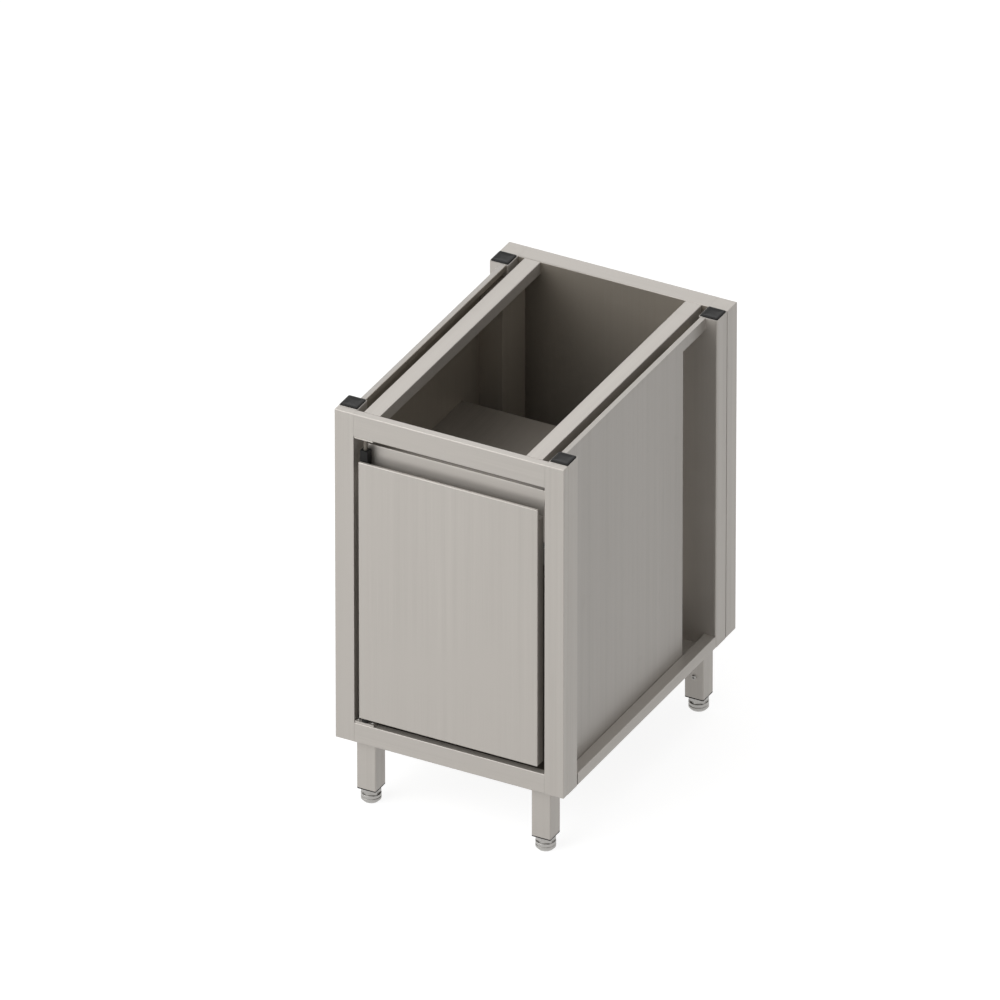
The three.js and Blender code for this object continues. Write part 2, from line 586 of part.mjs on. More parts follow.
// Bearings of the door: a block in the groove's hinge end, and a bush inside the lower corner
const bearingHole = (z0, z1) => atPivot(rod(clearing(PIN_RADIUS + PIN_CLEARANCE), z0, z1));
const pivotBlock = box(
  [-DOOR_SIDE, GROOVE_FRONT + FIT, GROOVE_FLOOR + SEAM],
  [PIVOT_BLOCK_WIDTH - DOOR_SIDE, GROOVE_BACK - FIT, PIVOT_BLOCK_TOP],
);
const upperBore = bearingHole(PIVOT_BLOCK_TOP - PIN_REACH - FIT, PIVOT_BLOCK_TOP + SHEET);
piece(door, "door_pivot_block", cut(pivotBlock, upperBore), BLACK_NYLON);
const BUSH_START = -DOOR_SIDE + 2 * SHEET + SEAM + FIT;
const BUSH_BOTTOM = DOOR_BOTTOM + SHEET + SEAM;
const bush = box(
  [BUSH_START, DOOR_FACE + SHEET + FIT, BUSH_BOTTOM],
  [PIVOT_X + BUSH_REACH, SKIN_BACK - FIT, BUSH_BOTTOM + PIN_REACH],
);
const lowerBore = bearingHole(BUSH_BOTTOM - SHEET, DOOR_BOTTOM + PIN_REACH + FIT);
piece(door, "door_lower_bush", cut(bush, lowerBore), BLACK_NYLON);

// Magnet catch on the post opposite the hinge, and its strike plate on the door
const CATCH_MIDDLE = RIM - CATCH_BELOW_RIM;
const CATCH_END = OPENING_SIDE - SEAM;
const CATCH_FACE = DOOR_BACK + SEAM + STRIKE_SHEET + FIT;
const catchPlan = closedShape([
  [CATCH_END, CATCH_FACE],
  [CATCH_END, CATCH_FACE + CATCH_DEPTH],
  [CATCH_END - CATCH_REACH + CATCH_CHAMFER, CATCH_FACE + CATCH_DEPTH],
  [CATCH_END - CATCH_REACH, CATCH_FACE + CATCH_DEPTH - CATCH_CHAMFER],
  [CATCH_END - CATCH_REACH, CATCH_FACE],
]);
const catchBody = upwards(catchPlan, CATCH_MIDDLE - CATCH_HEIGHT / 2, CATCH_MIDDLE + CATCH_HEIGHT / 2);
piece(body, "magnet_catch", catchBody, BLACK_NYLON);
const strike = box(
  [CATCH_END - CATCH_REACH, DOOR_BACK + SEAM, CATCH_MIDDLE - CATCH_HEIGHT / 2],
  [CATCH_END - CATCH_REACH + STRIKE_WIDTH, DOOR_BACK + SEAM + STRIKE_SHEET, CATCH_MIDDLE + CATCH_HEIGHT / 2],
);
piece(door, "door_strike_plate", strike, BRIGHT_STEEL);

export default group;
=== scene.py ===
"""Looks of the condiment station cabinet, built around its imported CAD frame.

Every visible CAD node is replaced by a finished piece of the same size: tubes get rounded corners, folded
sheets get bend radii, and nylon and turned parts are rebuilt with their mouldings.
Lengths are in metres, +Z is up and the front faces -Y.
"""

import json
import logging
import math
from abc import ABC, abstractmethod
from dataclasses import dataclass
from enum import Enum
from functools import partial
from itertools import product
from typing import Callable, Optional, Sequence

import bmesh
import bpy
from mathutils import Matrix, Vector

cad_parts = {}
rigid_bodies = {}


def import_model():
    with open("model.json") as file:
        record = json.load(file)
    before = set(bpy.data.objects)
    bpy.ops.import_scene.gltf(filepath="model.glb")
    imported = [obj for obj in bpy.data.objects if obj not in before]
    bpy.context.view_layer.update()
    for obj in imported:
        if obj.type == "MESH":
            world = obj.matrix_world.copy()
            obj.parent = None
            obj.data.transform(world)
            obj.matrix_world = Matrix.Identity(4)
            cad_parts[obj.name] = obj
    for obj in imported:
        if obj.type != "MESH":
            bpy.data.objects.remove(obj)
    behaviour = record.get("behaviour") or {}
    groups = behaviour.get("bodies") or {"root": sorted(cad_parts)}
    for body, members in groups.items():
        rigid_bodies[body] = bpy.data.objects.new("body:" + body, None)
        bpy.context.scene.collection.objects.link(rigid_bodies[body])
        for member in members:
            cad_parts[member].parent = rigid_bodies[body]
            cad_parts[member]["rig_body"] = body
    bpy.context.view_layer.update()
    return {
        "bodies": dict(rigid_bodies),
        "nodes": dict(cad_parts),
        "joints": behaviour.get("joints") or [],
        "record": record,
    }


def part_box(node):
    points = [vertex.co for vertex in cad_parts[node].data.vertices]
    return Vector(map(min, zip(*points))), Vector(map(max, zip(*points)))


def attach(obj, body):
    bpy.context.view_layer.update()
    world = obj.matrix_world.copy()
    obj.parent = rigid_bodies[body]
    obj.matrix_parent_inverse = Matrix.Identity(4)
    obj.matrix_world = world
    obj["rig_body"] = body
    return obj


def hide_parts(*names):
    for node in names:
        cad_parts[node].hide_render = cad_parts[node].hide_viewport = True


LOG = logging.getLogger("condiment_station")
MM = 0.001
CORNERS = ("front_left", "front_right", "rear_left", "rear_right")
SIDES = {"left": -1, "right": 1}
# Shares of a direction from which it runs slightly, roughly or closely along another, or straight on
SLIGHTLY = 0.3
FACING = 0.5
CLOSELY = 0.9
STRAIGHT = 0.999
RELIEF_DEPTH = 0.05 * MM
SHEET_BEND = 1.6 * MM
WIDE_FACE = 4 * MM
SAME_PLACE = 0.01 * MM
FLAT_ANGLE = math.radians(1)
CREASE_ANGLE = math.radians(35)
SHARP_ANGLE = math.radians(40)
BEND_FACES = 4
BREAK_FACES = 2
CORNER_POINTS = 5
SCREW_POINTS = 36
RIVET_POINTS = 24
WHITE = (1.0, 1.0, 1.0, 1.0)

Colour = tuple[float, float, float]
Edge = bmesh.types.BMEdge
Face = bmesh.types.BMFace
Shape = bmesh.types.BMesh
Socket = bpy.types.NodeSocket
Tree = bpy.types.NodeTree
Ring = list[Vector]
Seats = list[tuple[Vector, Vector]]
FacePick = Callable[[Face], int]
EdgeTest = Callable[[Vector], bool]


class Grain(Enum):
    """How a surface was brushed: cycles of its grain per metre along X, Y and Z."""

    UPRIGHT = (700.0, 700.0, 5.0)
    ACROSS = (5.0, 700.0, 700.0)
    LENGTHWISE = (700.0, 5.0, 700.0)
    MILL = (240.0, 240.0, 240.0)


class Slot(Enum):
    """Material slots of the record."""

    SATIN = "satin_steel"
    INNER = "inner_steel"
    NYLON = "black_nylon"
    BRIGHT = "bright_steel"


def new_group(name: str, inputs: dict, outputs: dict, kind: str = "ShaderNodeTree") -> Tree:
    """Makes a node group with named sockets.

    Args:
        name: Name of the group.
        inputs: Socket names, each with the kind of its value.
        outputs: The same for the outputs.
        kind: Type of node tree.

    Returns:
        The empty tree, with its group input and output nodes named "in" and "out".
    """
    tree = bpy.data.node_groups.new(name, kind)
    for way, sockets in (("INPUT", inputs), ("OUTPUT", outputs)):
        for label, value in sockets.items():
            tree.interface.new_socket(label, in_out=way, socket_type=f"NodeSocket{value}")
    tree.nodes.new("NodeGroupInput").name = "in"
    tree.nodes.new("NodeGroupOutput").name = "out"
    return tree


def fill(tree: Tree, node: bpy.types.Node, inputs: dict) -> None:
    """Fills a node's inputs.

    Args:
        tree: Tree that holds the node.
        node: Node to fill.
        inputs: Input name or index, with the socket to link or the constant to set.
    """
    for key, value in inputs.items():
        if isinstance(value, bpy.types.NodeSocket):
            tree.links.new(value, node.inputs[key])
        else:
            node.inputs[key].default_value = value


def add_node(tree: Tree, kind: str, inputs: Optional[dict] = None, **settings: object) -> bpy.types.Node:
    """Adds a node, sets its properties and fills its inputs.

    Args:
        tree: Tree that takes the node.
        kind: Type of node.
        inputs: Input name or index, with the socket to link or the constant to set.
        settings: Properties of the node.

    Returns:
        The new node.
    """
    node = tree.nodes.new(kind)
    for label, value in settings.items():
        setattr(node, label, value)
    fill(tree, node, inputs or {})
    return node


def use_group(tree: Tree, group: Tree, inputs: dict) -> bpy.types.bpy_prop_collection:
    """Outputs of a shared group that is put into a tree."""
    return add_node(tree, "ShaderNodeGroup", inputs, node_tree=group).outputs


def noise(tree: Tree, place: Socket, scale: float, detail: float, **more: float) -> Socket:
    """Value of a noise pattern."""
    inputs = {"Vector": place, "Scale": scale, "Detail": detail, **more}
    return add_node(tree, "ShaderNodeTexNoise", inputs).outputs[0]


def spread(tree: Tree, value: Socket, low: object, high: object, **settings: str) -> Socket:
    """A value stretched so that low becomes 0 and high becomes 1."""
    inputs = {"Value": value, "From Min": low, "From Max": high}
    return add_node(tree, "ShaderNodeMapRange", inputs, **settings).outputs[0]


def relief(tree: Tree, height: Socket, strength: float) -> Socket:
    """Normal of a surface with fine relief."""
    inputs = {"Height": height, "Strength": strength, "Distance": RELIEF_DEPTH}
    return add_node(tree, "ShaderNodeBump", inputs).outputs[0]


def mix_colours(tree: Tree, share: Socket, first: Socket | Colour, second: Socket | Colour) -> Socket:
    """Mixes two colours.

    Args:
        tree: Tree of a material.
        share: How much of the second colour is taken.
        first: First colour.
        second: Second colour.

    Returns:
        The mixed colour.
    """
    ends = [(*end, 1.0) if isinstance(end, tuple) else end for end in (first, second)]
    inputs = {"Factor": share, 6: ends[0], 7: ends[1]}
    return add_node(tree, "ShaderNodeMix", inputs, data_type="RGBA").outputs[2]


def new_material(name: str) -> tuple[bpy.types.Material, Tree, Socket]:
    """Makes a material.

    Args:
        name: Name of the material.

    Returns:
        The material, its node tree and its object coordinates.
    """
    made = bpy.data.materials.new(name)
    made.use_nodes = True
    place = made.node_tree.nodes.new("ShaderNodeTexCoord").outputs["Object"]
    return made, made.node_tree, place


class Effects:
    """Shader node groups that the finishes share."""

    def __init__(self) -> None:
        """Builds the groups."""
        self.brushed = self._brushed_grain()
        self.marks = self._handling_marks()
        self.moulded = self._moulded_skin()
        self.sunk = self._painted_groove_shade()

    def _brushed_grain(self) -> Tree:
        """Streaks along a brushing direction.

        Returns:
            Group that gives a tone from 0 to 1 and the height of the fine scratches.
        """
        inputs = {"Position": "Vector", "Cycles": "Vector"}
        tree = new_group("brushed_grain", inputs, {"Streak": "Float", "Height": "Float"})
        start = tree.nodes["in"].outputs
        both = {0: start["Position"], 1: start["Cycles"]}
        stretched = add_node(tree, "ShaderNodeVectorMath", both, operation="MULTIPLY").outputs[0]
        fine = noise(tree, stretched, 1.0, 4.0)
        wide = noise(tree, stretched, 0.11, 3.0, Roughness=0.6)
        streak = add_node(tree, "ShaderNodeMix", {"Factor": 0.6, "A": fine, "B": wide}).outputs[0]
        fill(tree, tree.nodes["out"], {"Streak": spread(tree, streak, 0.24, 0.76), "Height": fine})
        return tree

    def _handling_marks(self) -> Tree:
        """Wiped haze in broad clouds, and short rubbed patches where hands and pans touch.

        Returns:
            Group that gives the haze and the rubbed patches, each from 0 to 1.
        """
        tree = new_group("handling_marks", {"Position": "Vector"}, {"Haze": "Float", "Rub": "Float"})
        place = tree.nodes["in"].outputs["Position"]
        cloud = noise(tree, place, 4.5, 3.0, Distortion=0.6)
        tilt = {"Vector": place, "Rotation": (0.4, 0.7, 0.3), "Scale": (9.0, 60.0, 26.0)}
        tilted = add_node(tree, "ShaderNodeMapping", tilt).outputs[0]
        scuff = noise(tree, tilted, 1.0, 5.0)
        marks = {"Haze": spread(tree, cloud, 0.36, 0.68), "Rub": spread(tree, scuff, 0.6, 0.74)}
        fill(tree, tree.nodes["out"], marks)
        return tree

    def _painted_groove_shade(self) -> Tree:
        """Painted shade down a groove: how much light is left at each height.

        Returns:
            Group that gives 0 at and below one height and 1 at and above another.
        """
        inputs = {"Position": "Vector", "Low": "Float", "High": "Float"}
        tree = new_group("sunk_light", inputs, {"Lit": "Float"})
        start = tree.nodes["in"].outputs
        height = add_node(tree, "ShaderNodeSeparateXYZ", {0: start["Position"]}).outputs["Z"]
        lit = spread(tree, height, start["Low"], start["High"], interpolation_type="SMOOTHSTEP")
        fill(tree, tree.nodes["out"], {"Lit": lit})
        return tree

    def _moulded_skin(self) -> Tree:
        """Fine spark-eroded texture of moulded nylon, with flow clouds in its tone.

        Returns:
            Group that gives the tone and the height of the texture.
        """
        tree = new_group("moulded_skin", {"Position": "Vector"}, {"Tone": "Float", "Height": "Float"})
        place = tree.nodes["in"].outputs["Position"]
        spark = add_node(tree, "ShaderNodeTexVoronoi", {"Vector": place, "Scale": 1400.0})
        flow = noise(tree, place, 90.0, 4.0)
        fill(tree, tree.nodes["out"], {"Tone": flow, "Height": spark.outputs["Distance"]})
        return tree


@dataclass(frozen=True)
class SteelFinish:
    """Brushed stainless steel.

    Its tones are those of bright streaks, dull streaks and wiped areas. Bright streaks are smooth, dull ones
    are rough, and rubbed places are rougher by rub. Shade is painted shade in a groove: the height below
    which it is darkest, the height where that ends and the share of light left.
    """

    name: str
    tones: tuple[Colour, Colour, Colour]
    grain: Grain
    smooth: float = 0.34
    rough: float = 0.5
    rub: float = 0.06
    metallic: float = 0.45
    scratches: float = 0.25
    shade: Optional[tuple[float, float, float]] = None

    def material(self, effects: Effects) -> bpy.types.Material:
        """Builds the material.

        Args:
            effects: Shared node groups.

        Returns:
            The material.
        """
        made, tree, place = new_material(self.name)
        light, dull, wiped = self.tones
        grain = use_group(tree, effects.brushed, {"Position": place, "Cycles": self.grain.value})
        marks = use_group(tree, effects.marks, {"Position": place})
        tone = mix_colours(tree, grain["Streak"], dull, light)
        tone = mix_colours(tree, marks["Haze"], tone, wiped)
        # Painted shade: towards the groove's floor the colour darkens, standing in for the shadow of the lip
        if self.shade is not None:
            low, high, left = self.shade
            sunk = use_group(tree, effects.sunk, {"Position": place, "Low": low, "High": high})
            tone = mix_colours(tree, sunk["Lit"], tuple(left * part for part in wiped), tone)
        ends = {"Value": grain["Streak"], "To Min": self.rough, "To Max": self.smooth}
        even = add_node(tree, "ShaderNodeMapRange", ends).outputs[0]
        worn = {0: marks["Rub"], 1: self.rub, 2: even}
        surface = {
            "Base Color": tone,
            "Roughness": add_node(tree, "ShaderNodeMath", worn, operation="MULTIPLY_ADD").outputs[0],
            "Normal": relief(tree, grain["Height"], self.scratches),
            "Metallic": self.metallic,
        }
        fill(tree, tree.nodes["Principled BSDF"], surface)
        return made


@dataclass(frozen=True)
class NylonFinish:
    """Black moulded nylon, with lighter flow clouds and a fine texture."""

    name: str
    darkest: Colour
    lightest: Colour
    roughness: float = 0.45
    shine: float = 0.2
    texture: float = 0.3

    def material(self, effects: Effects) -> bpy.types.Material:
        """Builds the material.

        Args:
            effects: Shared node groups.

        Returns:
            The material.
        """
        made, tree, place = new_material(self.name)
        moulded = use_group(tree, effects.moulded, {"Position": place})
        surface = {
            "Base Color": mix_colours(tree, moulded["Tone"], self.darkest, self.lightest),
            "Roughness": self.roughness,
            "Normal": relief(tree, moulded["Height"], self.texture),
            "Specular IOR Level": self.shine,
        }
        fill(tree, tree.nodes["Principled BSDF"], surface)
        return made


SATIN = ((0.52, 0.49, 0.455), (0.45, 0.424, 0.394), (0.49, 0.461, 0.428))
# Painted shade: the side panels take a darker copy of the satin tones, standing in for the shade on the
# cabinet's sides
PANEL_PAINTED_SHADE = ((0.44, 0.416, 0.388), (0.39, 0.368, 0.343), (0.415, 0.392, 0.366))
# The dark shelf tones also stand as painted shade on the door's top return
SHELF = ((0.17, 0.152, 0.13), (0.125, 0.111, 0.094), (0.148, 0.132, 0.112))
INNER = ((0.36, 0.324, 0.277), (0.29, 0.26, 0.22), (0.325, 0.291, 0.248))
TURNED = ((0.46, 0.448, 0.43), (0.36, 0.35, 0.335), (0.41, 0.4, 0.383))
FINISHES = (
    SteelFinish("satin_upright", SATIN, Grain.UPRIGHT),
    SteelFinish("satin_across", SATIN, Grain.ACROSS),
    SteelFinish("satin_lengthwise", SATIN, Grain.LENGTHWISE),
    SteelFinish("satin_panel", PANEL_PAINTED_SHADE, Grain.UPRIGHT),
    # Painted shade: the groove's colour darkens below 0.764 m, down to three quarters of its wiped tone at
    # 0.748 m
    SteelFinish("satin_groove", SATIN, Grain.ACROSS, shade=(0.748, 0.764, 0.75)),
    SteelFinish("inner_shelf", SHELF, Grain.LENGTHWISE),
    SteelFinish("inner_mill", INNER, Grain.UPRIGHT, smooth=0.36),
    SteelFinish("bright_turned", TURNED, Grain.MILL, smooth=0.28, rough=0.4, metallic=0.8),
    NylonFinish("black_moulded", (0.004, 0.004, 0.004), (0.011, 0.0107, 0.0103)),
)


def link(thing: bpy.types.Object) -> bpy.types.Object:
    """Puts an object into the scene and gives it back."""
    bpy.context.scene.collection.objects.link(thing)
    return thing


def mesh_of(shape: Shape, name: str) -> bpy.types.Mesh:
    """Turns a shape into a mesh and frees it.

    Args:
        shape: Shape to turn.
        name: Name of the mesh.

    Returns:
        The mesh.
    """
    mesh = bpy.data.meshes.new(name)
    shape.to_mesh(mesh)
    shape.free()
    return mesh


class Workshop:
    """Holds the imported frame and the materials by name, and files each finished piece."""

    def __init__(self, frame: dict) -> None:
        """Makes the materials.
        """
        effects = Effects()
        self.frame = frame
        self.finishes = {finish.name: finish.material(effects) for finish in FINISHES}

    def body_of(self, node: str) -> str:
        """Name of the body that a CAD node rides on."""
        return self.frame["nodes"][node]["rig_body"]

    def file(self, node: str, ending: str, shape: Shape, slot: Slot, *finishes: str) -> None:
        """Turns a shape into the piece that stands for a CAD node.

        Args:
            node: CAD node that it replaces.
            ending: Last word of the piece's name.
            shape: Its geometry, in the frame's metres.
            slot: Slot of the record, handed on to place.
            finishes: Names of its materials, in the order of its material indices.
        """
        name = f"{node}_{ending}"
        mesh = mesh_of(shape, name)
        for finish in finishes:
            mesh.materials.append(self.finishes[finish])
        self.place(bpy.data.objects.new(name, mesh), self.body_of(node), slot, [node])

    def place(self, piece: bpy.types.Object, body: str, slot: Slot, nodes: Sequence[str] = ()) -> None:
        """Links a piece, makes it ride on a body and hides the CAD nodes that it replaces.

        Args:
            piece: Piece to link.
            body: Body that it rides on.
            slot: Slot of the record; not used.
            nodes: CAD nodes that it replaces.
        """
        link(piece)
        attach(piece, body)
        if nodes:
            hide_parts(*nodes)
        LOG.info("%s: %d faces on %s", piece.name, len(piece.data.polygons), body)

    def copy_of(self, node: str) -> Shape:
        """Copies a CAD node.

        Args:
            node: CAD node to copy.

        Returns:
            Welded shape of flat faces.
        """
        shape = bmesh.new()
        shape.from_mesh(self.frame["nodes"][node].data)
        bmesh.ops.remove_doubles(shape, verts=shape.verts, dist=SAME_PLACE)
        bmesh.ops.dissolve_limit(
            shape, angle_limit=FLAT_ANGLE, verts=shape.verts, edges=shape.edges, delimit=set()
        )
        bmesh.ops.recalc_face_normals(shape, faces=shape.faces)
        for face in shape.faces:
            face.smooth = False
            face.material_index = 0
        return shape


def middle_of(edge: Edge) -> Vector:
    """Middle of an edge."""
    return (edge.verts[0].co + edge.verts[1].co) / 2


def width_at(face: Face, edge: Edge) -> float:
    """Measures a face from one of its edges.

    Args:
        face: Face to measure.
        edge: Edge of the face.

    Returns:
        How far the face runs inwards from the middle of the edge.
    """
    loop = next(loop for loop in face.loops if loop.edge == edge)
    along = (loop.link_loop_next.vert.co - loop.vert.co).normalized()
    inward = face.normal.cross(along)
    middle = middle_of(edge)
    widths = []
    for other in face.edges:
        first, last = (vert.co - middle for vert in other.verts)
        before = first.dot(along)
        after = last.dot(along)
        if other == edge or before * after > 0 or before == after:
            continue
        crossing = first.lerp(last, before / (before - after))
        if crossing.dot(inward) > SAME_PLACE:
            widths.append(crossing.dot(inward))
    return min(widths, default=0.0)


def outside_edges(shape: Shape, flush: Optional[EdgeTest] = None) -> list[Edge]:
    """Finds the outside edges where two faces meet at more than the sharp angle.

    Args:
        shape: Shape to search.
        flush: Test of an edge's middle that leaves the edge out.

    Returns:
        The edges.
    """
    convex = [edge for edge in shape.edges if len(edge.link_faces) == 2 and edge.is_convex]
    sharp = [edge for edge in convex if edge.calc_face_angle() > SHARP_ANGLE]
    return [edge for edge in sharp if flush is None or not flush(middle_of(edge))]


def runs_on(edge: Edge, chosen: set[Edge]) -> bool:
    """Tells whether an edge carries a chosen edge straight on.

    Args:
        edge: Edge to test.
        chosen: Chosen edges.

    Returns:
        Whether it does.
    """
    for vert in edge.verts:
        along = (edge.other_vert(vert).co - vert.co).normalized()
        for other in vert.link_edges:
            onward = (other.other_vert(vert).co - vert.co).normalized()
            if other in chosen and along.dot(onward) < -STRAIGHT:
                return True
    return False


def round_edges(shape: Shape, edges: Sequence[Edge], radius: float, segments: int, clamp: bool) -> None:
    """Rounds edges and shades the new faces smooth.

    Args:
        shape: Shape to change.
        edges: Edges to round.
        radius: Radius of the rounding.
        segments: Faces across it.
        clamp: Whether it shrinks where there is no room.
    """
    made = bmesh.ops.bevel(
        shape,
        geom=list(edges),
        offset=radius,
        offset_type="OFFSET",
        segments=segments,
        profile=0.5,
        affect="EDGES",
        clamp_overlap=clamp,
    )
    for face in made["faces"]:
        face.smooth = True


def soften(shape: Shape, bend: float, edge_break: float, flush: Optional[EdgeTest] = None) -> None:
    """Rounds the bends of folded stock and breaks its sharp edges.

    Args:
        shape: Shape to change.
        bend: Outside radius of a bend, between two wide faces.
        edge_break: Size of the broken edge where stock was cut.
        flush: Test of an edge's middle that stays sharp, where a neighbour is welded flush.
    """
    sharp = outside_edges(shape, flush)
    longer = [edge for edge in sharp if edge.calc_length() > 2 * bend]
    bends = {edge for edge in longer if all(width_at(face, edge) > WIDE_FACE for face in edge.link_faces)}
    bends |= {edge for edge in sharp if runs_on(edge, bends)}
    round_edges(shape, [edge for edge in sharp if edge in bends], bend, BEND_FACES, False)
    cut_edges = [edge for edge in outside_edges(shape, flush) if edge.calc_length() > 2 * edge_break]
    round_edges(shape, cut_edges, edge_break, BREAK_FACES, True)
    # A break without room is clamped to nothing, and its faces have no area
    bmesh.ops.dissolve_degenerate(shape, dist=SAME_PLACE, edges=shape.edges)


def circle(radius: float, height: float, count: int, flats: int = 0) -> Ring:
    """Makes a ring of points about the Z axis.

    Args:
        radius: Radius, or half the width across the flats.
        height: Height of the ring.
        count: Number of points.
        flats: Number of flats; without any the ring is round.

    Returns:
        The points.
    """
    ring = []
    for step in range(count):
        angle = 2 * math.pi * step / count
        reach = radius
        if flats:
            sector = 2 * math.pi / flats
            reach = radius / math.cos((angle + sector / 2) % sector - sector / 2)
        ring.append(Vector((reach * math.cos(angle), reach * math.sin(angle), height)))
    return ring


def rounded_square(half: float, radius: float, height: float) -> Ring:
    """Makes a ring of a square with rounded corners about the Z axis.

    Args:
        half: Half the width of the square.
        radius: Radius of its corners.
        height: Height of the ring.

    Returns:
        The points.
    """
    ring = []
    middle = Vector((half - radius, half - radius, height))
    for corner in range(4):
        turn = Matrix.Rotation(corner * math.pi / 2, 3, "Z")
        for step in range(CORNER_POINTS):
            angle = step * math.pi / 2 / (CORNER_POINTS - 1)
            ring.append(turn @ (middle + Vector((radius * math.cos(angle), radius * math.sin(angle), 0))))
    return ring


def skin(rings: Sequence[Ring], closed: bool = False) -> Shape:
    """Makes a smooth shape over a row of rings with the same number of points.

    Args:
        rings: Rings in order, counterclockwise seen from above when they rise.
        closed: Whether the last ring joins the first; otherwise both ends are capped.

    Returns:
        The shape.
    """
    shape = bmesh.new()
    rows = [[shape.verts.new(point) for point in ring] for ring in rings]
    count = len(rows[0])
    uppers = rows[1:] + rows[:1] if closed else rows[1:]
    for low, high in zip(rows, uppers):
        for step in range(count):
            after = (step + 1) % count
            shape.faces.new((low[step], low[after], high[after], high[step])).smooth = True
    if not closed:
        shape.faces.new(list(reversed(rows[0])))
        shape.faces.new(rows[-1])
    bmesh.ops.recalc_face_normals(shape, faces=shape.faces)
    return shape


def crease(shape: Shape) -> Shape:
    """Marks edges over the crease angle as sharp for shading.

    Args:
        shape: Shape to change.

    Returns:
        The same shape.
    """
    for edge in shape.edges:
        edge.smooth = len(edge.link_faces) != 2 or edge.calc_face_angle() < CREASE_ANGLE
    return shape


def moved(shape: Shape, place: Vector) -> Shape:
    """The same shape, shifted."""
    bmesh.ops.translate(shape, vec=place, verts=shape.verts)
    return shape


def seats_at(across: Sequence, along: Sequence, upward: Sequence, way: Sequence) -> Seats:
    """Seats at every crossing of rows of X, Y and Z, all facing one way."""
    return [(Vector(place), Vector(way)) for place in product(across, along, upward)]


def axis_of(low: Vector, high: Vector) -> Vector:
    """Foot of the upright axis through the middle of a box."""
    return Vector(((low.x + high.x) / 2, (low.y + high.y) / 2, 0))


def socket_screw(radius: float, head: float, shank: float) -> Shape:
    """Makes a button-head screw along Z, its head's seat at the origin.

    Args:
        radius: Radius of the head.
        head: Height of the head.
        shank: Length below the seat.

    Returns:
        The shape.
    """
    dome = ((0.58, 0.0), (1.0, 0.0), (1.0, 0.35), (0.93, 0.62), (0.8, 0.84), (0.62, 1.0))
    socket = ((0.462, 1.0), (0.42, 0.92), (0.42, 0.25))
    rings = [circle(dome[0][0] * radius, -shank, SCREW_POINTS)]
    rings += [circle(reach * radius, rise * head, SCREW_POINTS) for reach, rise in dome]
    rings += [circle(reach * radius, rise * head, SCREW_POINTS, 6) for reach, rise in socket]
    return skin(rings)


@dataclass
class Assembly(ABC):
    """Sub-assembly whose pieces a workshop files."""

    shop: Workshop
    edge_break: float = 0.3 * MM

    @abstractmethod
    def build(self) -> None:
        """Builds and dresses the pieces."""

    def dress(
        self,
        node: str,
        slot: Slot,
        *finishes: str,
        bend: float = SHEET_BEND,
        ending: str = "finished",
        pick: Optional[FacePick] = None,
        flush: Optional[EdgeTest] = None,
    ) -> None:
        """Files a copy of a node with rounded bends and broken edges.

        Args:
            node: CAD node to stand for.
            slot: Slot of the record.
            finishes: Names of its materials.
            bend: Outside radius of its bends.
            ending: Last word of the piece's name.
            pick: Gives the index of the material that a face takes; without it, all take the first.
            flush: Test of an edge's middle that stays sharp.
        """
        shape = self.shop.copy_of(node)
        soften(shape, bend, self.edge_break, flush)
        if pick is not None:
            for face in shape.faces:
                face.material_index = pick(face)
        self.shop.file(node, ending, shape, slot, *finishes)


@dataclass
class Tubes(Assembly):
    """Sub-assembly with upright square tubes, whose faces of flat_area square metres and more stay flat."""

    wall: float = 1.5 * MM
    radius: float = 2.5 * MM
    inner_radius: float = 1.0 * MM
    flat_area: float = 0.002

    def tube(self, node: str) -> None:
        """Builds a tube with rounded corners and lightly broken ends.

        Args:
            node: CAD node to stand for.
        """
        low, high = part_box(node)
        ease = self.edge_break
        half = (high.x - low.x) / 2
        inner = half - self.wall
        outline = (
            (half, self.radius, low.z + ease),
            (half, self.radius, high.z - ease),
            (half - ease, self.radius, high.z),
            (inner + ease, self.inner_radius, high.z),
            (inner, self.inner_radius, high.z - ease),
            (inner, self.inner_radius, low.z + ease),
            (inner + ease, self.inner_radius, low.z),
            (half - ease, self.radius, low.z),
        )
        shape = skin([rounded_square(*ring) for ring in outline], closed=True)
        for face in shape.faces:
            face.smooth = face.calc_area() < self.flat_area
        moved(crease(shape), axis_of(low, high))
        self.shop.file(node, "tube", shape, Slot.SATIN, "satin_upright")


@dataclass
class FrontFrame(Assembly):
    """Stiles and rails round the door, with the distance of their welded joints from the middle."""

    end: str = "front"
    upright: str = "stile"
    joint: float = 200 * MM
    near_joint: float = 1 * MM

    def at_joint(self, middle: Vector) -> bool:
        """Whether an edge lies where a rail meets an upright."""
        return abs(abs(middle.x) - self.joint) < self.near_joint

    def build(self) -> None:
        """Dresses the four members, grain along each."""
        members = {f"{self.end}_{side}_{self.upright}": "satin_upright" for side in SIDES}
        members |= {f"{self.end}_{level}_rail": "satin_across" for level in ("top", "bottom")}
        for node, finish in members.items():
            self.dress(node, Slot.SATIN, finish, flush=self.at_joint)


@dataclass
class RearFrame(FrontFrame):
    """Uprights, rails and the rear sheet."""

    end: str = "rear"
    upright: str = "upright"

    def build(self) -> None:
        """Dresses the members and the sheet, which is duller inside."""
        super().build()
        self.dress("rear_panel", Slot.INNER, "satin_upright", "inner_mill", pick=self._looks_in)

    def _looks_in(self, face: Face) -> int:
        """1 for a face that looks into the cabinet, and 0 for the rest."""
        return int(face.normal.y < -FACING)


